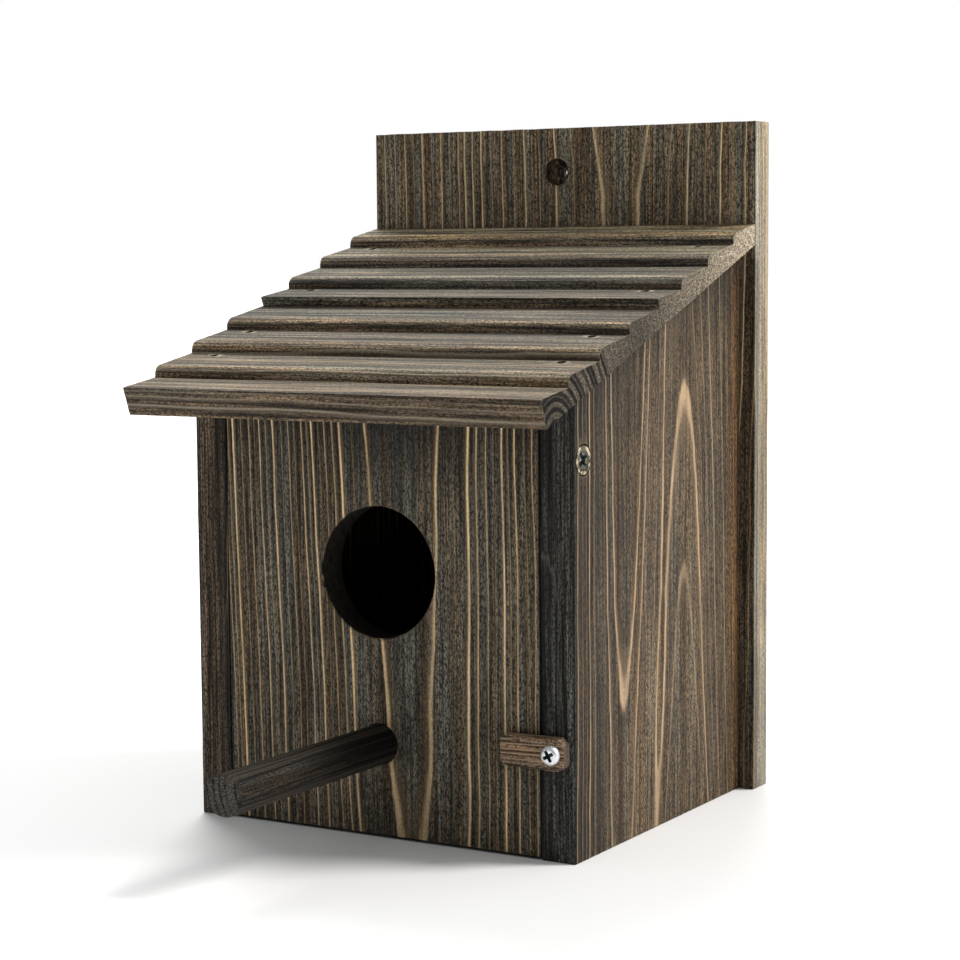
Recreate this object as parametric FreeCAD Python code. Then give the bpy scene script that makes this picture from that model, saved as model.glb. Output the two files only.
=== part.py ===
import FreeCAD, Part
import math
import os

# A small front-opening birdhouse of softwood boards, in millimetres.
# The origin is on the ground under the middle of the whole object. +Z is up, the
# front looks along -Y and +X is to the right of someone who faces the front.

Vec = FreeCAD.Vector

# ---- Driving dimensions -------------------------------------------------------

# House
body_width = 130.0          # over the two side panels
body_depth = 108.7          # front of the side panels to the back board
eaves_height = 132.4        # ground to the underside of the roof, at the front
roof_pitch = 19.9           # degrees

# Boards
side_thickness = 11.0
front_thickness = 10.6
back_thickness = 10.3
floor_thickness = 10.0
roof_thickness = 9.0

# Roof and back board
side_overhang = 5.1         # roof and back board stand out this far past each side
front_overhang = 24.9       # front face to the lower corner of the roof's lip
back_rise = 32.0            # back board above the valley of the last step
first_step = 16.3           # front edge of a plank to its second nose
step_pitch = 19.1           # nose to nose from there on
lower_plank_steps = 3       # full steps on the lower plank
step_drop = 3.1             # height of a riser, square to the roof
nose_radius = 2.9

# Hole for the hanging screw, in the back board
hanging_drop = 14.1         # top of the board to the hole
hanging_bore = 4.5
hanging_recess = 8.6
hanging_recess_depth = 3.3

# Front panel, entrance and perch
entrance_diameter = 38.7
entrance_height = 78.2
perch_diameter = 12.0
perch_height = 27.8
perch_reach = 75.8          # front face to the tip
perch_chamfer = 0.5
pivot_drop = 19.4           # eaves to the pivot screws

# Floor
floor_height = 4.0          # ground to the underside
groove_depth = 3.0          # housing in each side panel
drain_diameter = 6.0
drain_inset = 18.0          # inner corner of the house to a drain hole

# Turn button
button_length = 20.7
button_tail = 3.9           # screw to the short end
button_width = 9.3
button_thickness = 3.5
button_height = 31.4
button_clip = (2.0, 1.5)    # corner cut along and across the button

# Screws and brads
pivot_screw = {"head": 8.4, "shank": 4.2, "length": 32.0}
back_screw = {"head": 7.0, "shank": 3.5, "length": 35.0}
button_screw = {"head": 5.6, "shank": 2.9, "length": 16.0}
pan_height = 2.1            # head of the button's screw
head_land = 0.35            # straight rim of a countersunk head
brad_head = 2.6
brad_head_height = 0.8
brad_shank = 1.6
brad_length = 22.0
brad_sink = 0.3             # head below the valley of a step
valley_offset = 2.5         # brad in front of a riser's foot
brad_margin = 5.0           # brad to the front of the side, or to the plank's joint
rear_brad_margin = 12.0     # brad to the back board
side_screw_rise = 24.0      # ground to the lowest screw in a side panel
side_screw_drop = 36.0      # roof to the highest one

# Clearances
panel_side_gap = 0.4        # front panel to each side panel
panel_foot_gap = 0.8        # front panel to the ground
panel_stop_gap = 0.2        # front panel to the floor board
swing_gap = 2.0             # top corners of the front panel to the roof, as it turns
pivot_play = 0.08           # radial, pivot screws in the side panels
button_back_gap = 0.3       # turn button to the front face
button_head_gap = 0.15      # turn button to its screw's head
button_play = 0.1           # radial, turn button on its screw

# ---- Places that follow from them ---------------------------------------------

pitch = math.radians(roof_pitch)
lip_reach = front_overhang + roof_thickness * math.sin(pitch)
front_reach = max(perch_reach, lip_reach)
overall_depth = front_reach + body_depth + back_thickness

front_y = front_reach - overall_depth / 2
board_y = front_y + body_depth
rear_y = board_y + back_thickness
panel_rear_y = front_y + front_thickness
floor_front_y = panel_rear_y + panel_stop_gap

inner_half = body_width / 2 - side_thickness
edge_x = body_width / 2 - side_thickness / 2
panel_half = inner_half - panel_side_gap
cover_half = body_width / 2 + side_overhang

lip_y = front_y - front_overhang
lip_z = eaves_height - front_overhang * math.tan(pitch)
plank_joint = first_step + lower_plank_steps * step_pitch
roof_run = (board_y - lip_y) / math.cos(pitch)
step_lean = step_drop * math.tan(pitch)

pivot_y = front_y + front_thickness / 2
pivot_z = eaves_height - pivot_drop


def roof_point(along, up):
    """Point on the roof's end: along the slope from the lip, and up square to it."""
    y = lip_y + along * math.cos(pitch) - up * math.sin(pitch)
    z = lip_z + along * math.sin(pitch) + up * math.cos(pitch)
    return Vec(0, y, z)


def underside_z(y):
    """Height of the roof's underside."""
    return lip_z + (y - lip_y) * math.tan(pitch)


board_top = underside_z(board_y) + (roof_thickness - step_drop) / math.cos(pitch) + back_rise
hanging_z = board_top - hanging_drop


# ---- Shape helpers --------------------------------------------------------------

def block(x0, x1, y0, y1, z0, z1):
    """Box between two corners."""
    return Part.makeBox(x1 - x0, y1 - y0, z1 - z0, Vec(x0, y0, z0))


def rod(diameter, start, end):
    """Round bar between two points."""
    along = end - start
    return Part.makeCylinder(diameter / 2, along.Length, start, along)


def rounded_wire(corners):
    """Closed wire through (point, radius) corners. A radius of 0 is a sharp corner."""
    starts = []
    ends = []
    arcs = []
    for i, (point, radius) in enumerate(corners):
        back = (corners[i - 1][0] - point).normalize()
        ahead = (corners[(i + 1) % len(corners)][0] - point).normalize()
        half = back.getAngle(ahead) / 2
        reach = radius / math.tan(half)
        starts.append(point + back * reach)
        ends.append(point + ahead * reach)
        if radius > 0:
            inward = (back + ahead).normalize()
            middle = point + inward * (radius / math.sin(half) - radius)
            arcs.append(Part.Arc(starts[-1], middle, ends[-1]).toShape())
    lines = []
    for i, end in enumerate(ends):
        lines.append(Part.makeLine(end, starts[(i + 1) % len(starts)]))
    return Part.Wire(Part.__sortEdges__(lines + arcs))


def extruded(corners, direction):
    """Solid from an outline of (point, radius) corners."""
    return Part.Face(rounded_wire(corners)).extrude(direction)


def turned(corners):
    """Solid of revolution about Z from (point, radius) corners in the XZ plane."""
    face = Part.Face(rounded_wire(corners))
    return face.revolve(Vec(0, 0, 0), Vec(0, 0, 1), 360)


def aimed(shape, point, outward):
    """Move a shape made at the origin so that its +Z looks outward from a point."""
    placed = shape.copy()
    placed.Placement = FreeCAD.Placement(point, FreeCAD.Rotation(Vec(0, 0, 1), outward))
    return placed


def drilled(board, tools):
    """Cut a list of solids out of a board."""
    for tool in tools:
        board = board.cut(tool)
    return board


# ---- Fasteners ------------------------------------------------------------------

def countersunk_blank(screw, play=0.0):
    """Flat-headed wood screw without its recess: head at z = 0, point downwards."""
    head = screw["head"] / 2 + play
    shank = screw["shank"] / 2 + play
    cone = head - shank
    point = screw["shank"]
    outline = [
        (Vec(0, 0, 0), 0),
        (Vec(head, 0, 0), 0),
        (Vec(head, 0, -head_land), 0),
        (Vec(shank, 0, -head_land - cone), 0),
        (Vec(shank, 0, point - screw["length"]), 0),
        (Vec(0, 0, -screw["length"]), 0),
    ]
    return turned(outline)


def pan_blank(screw):
    """Pan-headed screw without its recess: head stands on z = 0, point downwards."""
    head = screw["head"] / 2
    shank = screw["shank"] / 2
    outline = [
        (Vec(0, 0, pan_height), 0),
        (Vec(head, 0, pan_height), pan_height * 0.7),
        (Vec(head, 0, 0), 0),
        (Vec(shank, 0, 0), 0),
        (Vec(shank, 0, screw["shank"] - screw["length"]), 0),
        (Vec(0, 0, -screw["length"]), 0),
    ]
    return turned(outline)


def cross_recess(head, top):
    """Cross-shaped driver recess in a head, narrowing from z = top downwards."""
    reach = head * 0.29
    wing = head * 0.055
    depth = head * 0.24
    taper = Part.makeCone(head * 0.09, reach, depth, Vec(0, 0, top - depth))
    along_x = block(-reach, reach, -wing, wing, top - depth, top)
    along_y = block(-wing, wing, -reach, reach, top - depth, top)
    return along_x.fuse(along_y).common(taper)


def brad_blank():
    """Small flat-headed brad: head from z = 0 downwards."""
    head = Part.makeCylinder(brad_head / 2, brad_head_height, Vec(0, 0, -brad_head_height))
    return head.fuse(rod(brad_shank, Vec(0, 0, -brad_length), Vec(0, 0, -brad_head_height)))


def pivot_points():
    """Head of each pivot screw, and the way that it looks."""
    return {side: (Vec(side * body_width / 2, pivot_y, pivot_z), Vec(side, 0, 0)) for side in (-1, 1)}


def pivot_blanks(play=0.0):
    """Both pivot screws without their recesses."""
    blank = countersunk_blank(pivot_screw, play)
    return [aimed(blank, point, outward) for point, outward in pivot_points().values()]


def back_screw_points():
    """Heads of the screws in the back board: three to a side panel, two to the floor."""
    top = underside_z(board_y) - side_screw_drop
    middle = (side_screw_rise + top) / 2
    floor_z = floor_height + floor_thickness / 2
    points = []
    for side in (-1, 1):
        for z in (side_screw_rise, middle, top):
            points.append(Vec(side * edge_x, rear_y, z))
        points.append(Vec(side * inner_half / 2, rear_y, floor_z))
    return points


def back_screw_blanks():
    """All screws in the back board without their recesses."""
    blank = countersunk_blank(back_screw)
    return [aimed(blank, point, Vec(0, 1, 0)) for point in back_screw_points()]


def step_valleys(plank_start, plank_end):
    """Places for a brad at the foot of each riser that stands over the side panels."""
    first = (front_y - lip_y) / math.cos(pitch) + brad_margin
    last = min(plank_end - brad_margin, roof_run - rear_brad_margin)
    count = math.ceil((plank_end - plank_start) / step_pitch)
    feet = [plank_start + first_step + i * step_pitch - step_lean for i in range(count)]
    return [foot - valley_offset for foot in feet if first <= foot - valley_offset <= last]


def brad_points():
    """Heads of the roof brads: two to each plank over each side panel."""
    level = roof_thickness - step_drop - brad_sink
    points = []
    for start, end in ((0.0, plank_joint), (plank_joint, roof_run)):
        valleys = step_valleys(start, end)
        for along in (valleys[0], valleys[-1]):
            for side in (-1, 1):
                points.append(roof_point(along, level) + Vec(side * edge_x, 0, 0))
    return points


def roof_normal():
    """Direction square to the roof, upwards."""
    return Vec(0, -math.sin(pitch), math.cos(pitch))


def brad_blanks():
    """All roof brads."""
    return [aimed(brad_blank(), point, roof_normal()) for point in brad_points()]


def brad_wells():
    """Room above each brad's head, out to the tread."""
    up = roof_normal() * roof_thickness
    return [rod(brad_head, point, point + up) for point in brad_points()]


def button_pivot():
    """Point where the head of the turn button's screw starts."""
    y = front_y - button_back_gap - button_thickness - button_head_gap
    return Vec(edge_x, y, button_height)


def button_screw_blank():
    """Turn button's screw without its recess."""
    return aimed(pan_blank(button_screw), button_pivot(), Vec(0, -1, 0))


# ---- Boards ---------------------------------------------------------------------

def side_panel(side):
    """Side panel, with its top edge cut to the roof and a stopped groove for the floor."""
    inner = side * inner_half
    outline = [
        (Vec(inner, front_y, 0), 0),
        (Vec(inner, board_y, 0), 0),
        (Vec(inner, board_y, underside_z(board_y)), 0),
        (Vec(inner, front_y, eaves_height), 0),
    ]
    panel = extruded(outline, Vec(side * side_thickness, 0, 0))
    groove_x = sorted([inner, inner + side * groove_depth])
    groove = block(*groove_x, floor_front_y, board_y, floor_height, floor_height + floor_thickness)
    tools = [groove] + pivot_blanks(pivot_play) + back_screw_blanks() + brad_blanks()
    return drilled(panel, tools + [button_screw_blank()])


def back_board():
    """Back board that carries the house, with a recessed hole for one hanging screw."""
    board = block(-cover_half, cover_half, board_y, rear_y, 0, board_top)
    bore = rod(hanging_bore, Vec(0, board_y, hanging_z), Vec(0, rear_y, hanging_z))
    floor_of_recess = Vec(0, board_y + hanging_recess_depth, hanging_z)
    recess = rod(hanging_recess, Vec(0, board_y, hanging_z), floor_of_recess)
    return drilled(board, [bore, recess] + back_screw_blanks())


def floor_board():
    """Floor board, housed in the side panels, with four drain holes."""
    half = inner_half + groove_depth
    top = floor_height + floor_thickness
    board = block(-half, half, floor_front_y, board_y, floor_height, top)
    drains = []
    for x in (drain_inset - inner_half, inner_half - drain_inset):
        for y in (floor_front_y + drain_inset, board_y - drain_inset):
            drains.append(rod(drain_diameter, Vec(x, y, floor_height), Vec(x, y, top)))
    return drilled(board, drains + back_screw_blanks())


def panel_top():
    """Top of the front panel: its corners keep clear of the roof as it turns."""
    half = front_thickness / 2
    to_roof = (underside_z(pivot_y) - pivot_z) * math.cos(pitch)
    return pivot_z + math.sqrt((to_roof - swing_gap) ** 2 - half ** 2)


def front_panel():
    """Front panel that turns on the pivot screws, with the entrance and the perch's hole."""
    panel = block(-panel_half, panel_half, front_y, panel_rear_y, panel_foot_gap, panel_top())
    entrance = rod(entrance_diameter, Vec(0, front_y, entrance_height), Vec(0, panel_rear_y, entrance_height))
    perch_hole = rod(perch_diameter, Vec(0, front_y, perch_height), Vec(0, panel_rear_y, perch_height))
    return drilled(panel, [entrance, perch_hole] + pivot_blanks())


def plank(start, steps):
    """Roof plank with sawtooth steps. Its first nose is sharp and the others are round."""
    end = start + first_step + steps * step_pitch
    foot_up = roof_thickness - step_drop
    outline = [(roof_point(start, 0), 0), (roof_point(start, roof_thickness), 0)]
    for i in range(steps):
        nose = start + first_step + i * step_pitch
        outline.append((roof_point(nose - step_lean, foot_up), 0))
        outline.append((roof_point(nose, roof_thickness), nose_radius))
    outline.append((roof_point(end, foot_up), 0))
    outline.append((roof_point(end, 0), 0))
    solid = extruded(outline, Vec(2 * cover_half, 0, 0))
    solid.translate(Vec(-cover_half, 0, 0))
    behind = block(-body_width, body_width, board_y, board_y + end, 0, 2 * board_top)
    return drilled(solid, [behind] + brad_blanks() + brad_wells())


def roof_lower_plank():
    """Plank at the eaves, whole."""
    return plank(0.0, lower_plank_steps)


def roof_upper_plank():
    """Plank against the back board, with as many steps as reach it."""
    top_run = roof_run + roof_thickness * math.tan(pitch)
    steps = math.ceil((top_run - plank_joint - first_step) / step_pitch)
    return plank(plank_joint, steps)


# ---- Perch and turn button --------------------------------------------------------

def perch():
    """Dowel through the front panel, with a slight chamfer at its tip."""
    radius = perch_diameter / 2
    length = perch_reach + front_thickness
    outline = [
        (Vec(0, 0, 0), 0),
        (Vec(0, 0, length), 0),
        (Vec(radius - perch_chamfer, 0, length), 0),
        (Vec(radius, 0, length - perch_chamfer), 0),
        (Vec(radius, 0, 0), 0),
    ]
    return aimed(turned(outline), Vec(0, panel_rear_y, perch_height), Vec(0, -1, 0))


def turn_button():
    """Wooden button that turns on its screw and holds the front panel shut."""
    tail = edge_x + button_tail
    tip = tail - button_length
    half = button_width / 2
    clip_x, clip_z = button_clip
    back = front_y - button_back_gap
    places = [
        (tip, clip_z - half), (tip + clip_x, -half), (tail - clip_x, -half), (tail, clip_z - half),
        (tail, half - clip_z), (tail - clip_x, half), (tip + clip_x, half), (tip, half - clip_z),
    ]
    outline = [(Vec(x, back, button_height + z), 0) for x, z in places]
    button = extruded(outline, Vec(0, -button_thickness, 0))
    hole = button_screw["shank"] + 2 * button_play
    front = back - button_thickness
    bore = rod(hole, Vec(edge_x, front, button_height), Vec(edge_x, back, button_height))
    return button.cut(bore)


def turn_button_screw():
    """Bright pan-headed screw in the edge of the right side panel."""
    screw = pan_blank(button_screw).cut(cross_recess(button_screw["head"], pan_height))
    return aimed(screw, button_pivot(), Vec(0, -1, 0))


def pivot_screws(side):
    """Flat-headed screw that one side of the front panel turns on."""
    screw = countersunk_blank(pivot_screw).cut(cross_recess(pivot_screw["head"], 0))
    point, outward = pivot_points()[side]
    return aimed(screw, point, outward)


def back_screws():
    """All screws in the back board, as separate solids."""
    screw = countersunk_blank(back_screw).cut(cross_recess(back_screw["head"], 0))
    return Part.Compound([aimed(screw, point, Vec(0, 1, 0)) for point in back_screw_points()])


def roof_brads():
    """All roof brads, as separate solids."""
    return Part.Compound(brad_blanks())


# ---- Nodes --------------------------------------------------------------------------

nodes = {
    "back_board": back_board(),
    "left_side": side_panel(-1),
    "right_side": side_panel(1),
    "floor_board": floor_board(),
    "front_panel": front_panel(),
    "roof_lower_plank": roof_lower_plank(),
    "roof_upper_plank": roof_upper_plank(),
    "perch": perch(),
    "turn_button": turn_button(),
    "turn_button_screw": turn_button_screw(),
    "left_pivot_screw": pivot_screws(-1),
    "right_pivot_screw": pivot_screws(1),
    "back_screws": back_screws(),
    "roof_brads": roof_brads(),
}

os.makedirs("parts", exist_ok=True)
for name, shape in nodes.items():
    shape.exportStep("parts/" + name + ".step")
    print(name, "solids", len(shape.Solids), "volume", round(shape.Volume), "valid", shape.isValid())
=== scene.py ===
"""Looks of a small stained-wood birdhouse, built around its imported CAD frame.

Lengths in the tables below are in millimetres; Blender's own units are metres.
"""
import math
from functools import partial

import bmesh
import bpy
import numpy as np
from mathutils import Matrix, Vector


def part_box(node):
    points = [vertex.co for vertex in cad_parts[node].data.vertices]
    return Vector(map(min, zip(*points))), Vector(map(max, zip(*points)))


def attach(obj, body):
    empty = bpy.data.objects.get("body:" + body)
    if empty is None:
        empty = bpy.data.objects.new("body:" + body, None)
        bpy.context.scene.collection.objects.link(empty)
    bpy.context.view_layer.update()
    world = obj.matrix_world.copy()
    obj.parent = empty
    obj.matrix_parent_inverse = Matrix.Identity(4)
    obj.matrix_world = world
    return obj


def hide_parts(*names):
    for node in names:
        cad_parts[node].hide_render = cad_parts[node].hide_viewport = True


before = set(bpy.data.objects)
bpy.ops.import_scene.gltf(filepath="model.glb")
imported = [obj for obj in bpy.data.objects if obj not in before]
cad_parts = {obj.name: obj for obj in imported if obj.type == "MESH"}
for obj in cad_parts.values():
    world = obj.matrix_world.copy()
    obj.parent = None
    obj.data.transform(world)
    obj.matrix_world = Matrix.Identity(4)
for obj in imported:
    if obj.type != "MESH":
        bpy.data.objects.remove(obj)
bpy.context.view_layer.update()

MM = 0.001

# The house, with the sizes of its CAD parts.
BOARD_WIDTH = 140.2        # back board and roof
HOUSE_WIDTH = 130.0
EAVES_HEIGHT = 132.4       # roof's underside over the side panels' front edges
SHELTERED = 168.0          # height up to which the back board is inside the house
ENTRANCE = 38.7
ENTRANCE_HEIGHT = 78.2
HANGING_DROP = 14.1
HANGING_RECESS = 8.6
HANGING_DEPTH = 3.3
HANGING_BORE = 4.5
FLOOR_TONGUE = 3.0         # how far the floor goes into each side panel
CLEAR_OF_SIDES = 40.0      # distance from the middle that is well inside the side panels
DRAIN_RADIUS = 3.0
DRAIN_INSET = 18.0
BUTTON_CLIP = (2.0, 1.5)

# Screws: radius of the head, radius of the shank, length.
PIVOT_SCREW = (4.2, 2.1, 32.0)
BACK_SCREW = (3.5, 1.75, 35.0)
BUTTON_SCREW = (2.8, 1.45, 16.0)
BUTTON_HEAD_HEIGHT = 2.1

# Roof moulding: the same values as the planks' CAD outline.
ROOF_PITCH = math.radians(19.9)
ROOF_THICKNESS = 9.0
FIRST_STEP = 16.3
STEP_PITCH = 19.1
STEP_DROP = 3.1
STEPS_PER_PLANK = 3
STEP_LEAN = STEP_DROP * math.tan(ROOF_PITCH)
NOSE_RADIUS = 2.9
LIP = (-46.5, 123.386)     # depth and height of the roof's lower front corner
# Directions up the slope, and out of the roof's top.
UP_SLOPE = np.array((0.0, math.cos(ROOF_PITCH), math.sin(ROOF_PITCH)))
OFF_ROOF = np.array((0.0, -math.sin(ROOF_PITCH), math.cos(ROOF_PITCH)))

# Meshes of the boards.
EDGE = 0.4                 # rounding along the boards' edges
FINE = 0.34                # mesh lines across the grain
THROUGH = 0.8              # mesh lines through a board
COARSE = 4.5               # mesh lines along the grain

# Lamps, and the camera, as it stands in front of the house and to its right.
KEY_DIRECTION = (0.629, 0.373, 0.682)
REAR_DIRECTION = (-0.40, 0.50, 0.77)
CAMERA_PLACE = (373.0, -590.1, 170.8)
CAMERA_TURN = math.radians(30.75)
CAMERA_DIP = math.radians(5.54)
CAMERA_ROLL = math.radians(0.44)
CAMERA_LENS = 88.74
SENSOR = 36.0


# ---- Small node helpers ----

def wire(tree, value, socket):
    """Link a socket's output, or set a plain value."""
    if isinstance(value, bpy.types.NodeSocket):
        tree.links.new(value, socket)
    elif socket.type == "RGBA":
        socket.default_value = (*value, 1.0)
    else:
        socket.default_value = value


def fill(tree, node, **inputs):
    """Set or link a node's inputs by name, with _ for a space."""
    for key, value in inputs.items():
        wire(tree, value, node.inputs[key.replace("_", " ")])
    return node


def add(tree, kind, **inputs):
    """New node with its inputs."""
    return fill(tree, tree.nodes.new("ShaderNode" + kind), **inputs)


def calc(tree, operation, *values):
    """Math node."""
    made = tree.nodes.new("ShaderNodeMath")
    made.operation = operation
    for value, socket in zip(values, made.inputs):
        wire(tree, value, socket)
    return made.outputs[0]


def product(tree, first, second):
    """One value times another."""
    return calc(tree, "MULTIPLY", first, second)


def vector_calc(tree, operation, vector, factor):
    """Vector Math node."""
    made = tree.nodes.new("ShaderNodeVectorMath")
    made.operation = operation
    wire(tree, vector, made.inputs[0])
    wire(tree, factor, made.inputs["Scale" if operation == "SCALE" else 1])
    return made.outputs


def remap(tree, value, low, high, out_low=0.0, out_high=1.0, smooth=True):
    """Map Range node."""
    made = tree.nodes.new("ShaderNodeMapRange")
    made.interpolation_type = "SMOOTHSTEP" if smooth else "LINEAR"
    fill(tree, made, Value=value, From_Min=low, From_Max=high, To_Min=out_low, To_Max=out_high)
    return made.outputs[0]


def mix(tree, share, first, second, blend="MIX"):
    """Colour mix node."""
    made = tree.nodes.new("ShaderNodeMix")
    made.data_type = "RGBA"
    made.blend_type = blend
    wire(tree, share, made.inputs["Factor"])
    wire(tree, first, made.inputs[6])
    wire(tree, second, made.inputs[7])
    return made.outputs[2]


def noise(tree, vector, factors, detail=2.0, roughness=0.5):
    """Noise value at a point whose three numbers are stretched by factors."""
    place = vector_calc(tree, "MULTIPLY", vector, factors)[0]
    made = add(tree, "TexNoise", Vector=place, Scale=1.0, Detail=detail, Roughness=roughness)
    return made.outputs["Fac"]


def shade_by(tree, value, at_none, at_full):
    """Value between 0 and 1 turned evenly into a shade."""
    return remap(tree, value, 0.0, 1.0, at_none, at_full, smooth=False)


def patches(tree, vector, factors, low, high, detail=2.0, roughness=0.5):
    """Noise sharpened into patches between 0 and 1."""
    return remap(tree, noise(tree, vector, factors, detail, roughness), low, high)


def new_group(name, inputs, outputs):
    """Empty shader group with named sockets: (name, kind, default) in, and names of values out."""
    tree = bpy.data.node_groups.new(name, "ShaderNodeTree")
    for label, kind, default in inputs:
        socket = tree.interface.new_socket(label, in_out="INPUT", socket_type="NodeSocket" + kind)
        if default is not None:
            socket.default_value = default
    for label in outputs:
        tree.interface.new_socket(label, in_out="OUTPUT", socket_type="NodeSocketFloat")
    return tree, tree.nodes.new("NodeGroupInput").outputs, tree.nodes.new("NodeGroupOutput").inputs


def use_group(tree, group, **inputs):
    """Place a shader group in a material."""
    made = tree.nodes.new("ShaderNodeGroup")
    made.node_tree = group
    return fill(tree, made, **inputs).outputs


# ---- Shader groups ----

def distance_to_ring(tree, growth, grain, ragged):
    """Signed distance to the nearest ring, in millimetres, and that ring's strength."""
    parts = add(tree, "SeparateXYZ", Vector=growth).outputs
    offset = calc(tree, "SUBTRACT", parts["X"], calc(tree, "ROUND", parts["X"]))
    late = product(tree, offset, parts["Y"])
    rough = noise(tree, grain, (1.5, 1.5, 0.2), 3.0, 0.6)
    return calc(tree, "ADD", late, calc(tree, "MULTIPLY_ADD", rough, ragged, -ragged / 2)), parts["Z"]


def latewood_group():
    """Pale latewood lines: sharp on the bark side, with a warm glow towards the pith."""
    tree, given, out = new_group(
        "latewood lines",
        [("Growth", "Vector", None), ("Grain", "Vector", None), ("Width", "Float", 0.3)],
        ["Line", "Glow"])
    late, tone = distance_to_ring(tree, given["Growth"], given["Grain"], 0.26)
    width = product(tree, given["Width"], calc(tree, "MULTIPLY_ADD", tone, 0.95, 0.4))
    inner = calc(tree, "LESS_THAN", late, 0.0)
    away = calc(tree, "ABSOLUTE", late)
    fade = noise(tree, given["Grain"], (0.3, 0.3, 0.022), 3.0, 0.6)
    strength = product(tree, remap(tree, tone, 0.0, 0.9), remap(tree, fade, 0.34, 0.6, 0.5, 1.0))
    for label, pith_side, bark_side, solid in (("Line", 1.0, 0.8, 0.2), ("Glow", 4.2, 1.6, 0.0)):
        reach = product(tree, width, calc(tree, "MULTIPLY_ADD", inner, pith_side, bark_side))
        near = remap(tree, calc(tree, "DIVIDE", away, reach), 1.0, solid)
        wire(tree, product(tree, near, strength), out[label])
    return tree


def fibre_group():
    """Fibres along the grain, thin dark gaps, flecks of stain, and slow changes of tone."""
    tree, given, out = new_group(
        "stained fibres",
        [("Grain", "Vector", None), ("Fineness", "Float", 1.0)],
        ["Streak", "Gap", "Fleck", "Cloud", "Band"])
    grain = given["Grain"]
    fibre = vector_calc(tree, "SCALE", grain, given["Fineness"])[0]
    fine = patches(tree, fibre, (1.9, 1.7, 0.035), 0.35, 0.65, 3.0, 0.65)
    broad = patches(tree, fibre, (0.75, 0.7, 0.011), 0.32, 0.68)
    streak = calc(tree, "ADD", product(tree, fine, 0.58), product(tree, broad, 0.42))
    wire(tree, streak, out["Streak"])
    wire(tree, patches(tree, fibre, (2.3, 2.1, 0.045), 0.56, 0.66, 2.0, 0.6), out["Gap"])
    wire(tree, patches(tree, grain, (3.0, 3.0, 1.15), 0.35, 0.65, 2.0, 0.6), out["Fleck"])
    wire(tree, patches(tree, grain, (0.045, 0.045, 0.018), 0.32, 0.68), out["Cloud"])
    wire(tree, patches(tree, grain, (0.33, 0.2, 0.006), 0.34, 0.66), out["Band"])
    return tree


def edge_wear_and_highlight_group():
    """Where a rounded edge has lost its stain, with a painted highlight along it in part, in broken
    stretches.
    """
    tree, given, out = new_group(
        "edge wear",
        [("Wear", "Float", 0.0), ("Grain", "Vector", None), ("Amount", "Float", 0.5)],
        ["Mask"])
    broken = patches(tree, given["Grain"], (0.35, 0.35, 0.09), 0.38, 0.62, 4.0, 0.65)
    wire(tree, product(tree, given["Wear"], product(tree, broken, given["Amount"])), out["Mask"])
    return tree


def end_grain_group():
    """Sawn end grain: rings, open pores and saw marks."""
    tree, given, out = new_group(
        "end grain",
        [("Growth", "Vector", None), ("Grain", "Vector", None)],
        ["Ring", "Pore", "Saw"])
    grain = given["Grain"]
    late, tone = distance_to_ring(tree, given["Growth"], grain, 0.6)
    line = remap(tree, calc(tree, "ABSOLUTE", late), 1.0, 0.35)
    wire(tree, product(tree, line, remap(tree, tone, 0.0, 0.5, 0.05, 1.0)), out["Ring"])
    wire(tree, patches(tree, grain, (3.0, 3.0, 0.6), 0.36, 0.66, 3.0, 0.75), out["Pore"])
    wire(tree, patches(tree, grain, (0.8, 1.3, 0.3), 0.35, 0.65), out["Saw"])
    return tree


LATEWOOD = latewood_group()
FIBRES = fibre_group()
EDGE_WEAR_AND_HIGHLIGHT = edge_wear_and_highlight_group()
END_GRAIN = end_grain_group()


# ---- Materials ----

def new_material(name):
    """Material with only its Principled shader."""
    material = bpy.data.materials.new(name)
    material.use_nodes = True
    tree = material.node_tree
    tree.nodes.clear()
    shader = add(tree, "BsdfPrincipled")
    add(tree, "OutputMaterial", Surface=shader.outputs[0])
    return material, tree, shader


def attribute(tree, name, output="Fac"):
    """Value that the mesh carries."""
    made = tree.nodes.new("ShaderNodeAttribute")
    made.attribute_name = name
    return made.outputs[output]


def raise_surface(tree, shader, height, depth):
    """Bump of a real depth, in metres."""
    bump = add(tree, "Bump", Strength=0.9, Distance=depth, Height=height)
    tree.links.new(bump.outputs[0], shader.inputs["Normal"])


def stained_colour(tree, fibres, dark, light, contrast, fleck, cool, warm):
    """Colour of the stain before any latewood line, by how warm and how heavy it is; the mesh's stain
    value it is scaled by also carries painted shade and highlights.
    """
    rust = (1.45, 0.93, 0.5)
    base = mix(tree, calc(tree, "POWER", fibres["Streak"], contrast), dark, light)
    warmth = calc(tree, "ADD", fibres["Band"], attribute(tree, "warmth"))
    tint = mix(tree, remap(tree, warmth, 0.0, 1.0), cool, warm)
    rusty = mix(tree, remap(tree, warmth, 1.3, 2.2), tint, rust)
    hued = mix(tree, 1.0, base, rusty, "MULTIPLY")
    gapped = mix(tree, product(tree, fibres["Gap"], 0.5), hued, [0.45 * value for value in dark])
    shade = shade_by(tree, fibres["Fleck"], 1.0 - fleck, 1.0 + 0.8 * fleck)
    clouded = product(tree, shade, remap(tree, fibres["Cloud"], 0.0, 1.0, 0.8, 1.16))
    return vector_calc(tree, "SCALE", gapped, product(tree, clouded, attribute(tree, "stain")))[0]


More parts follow.
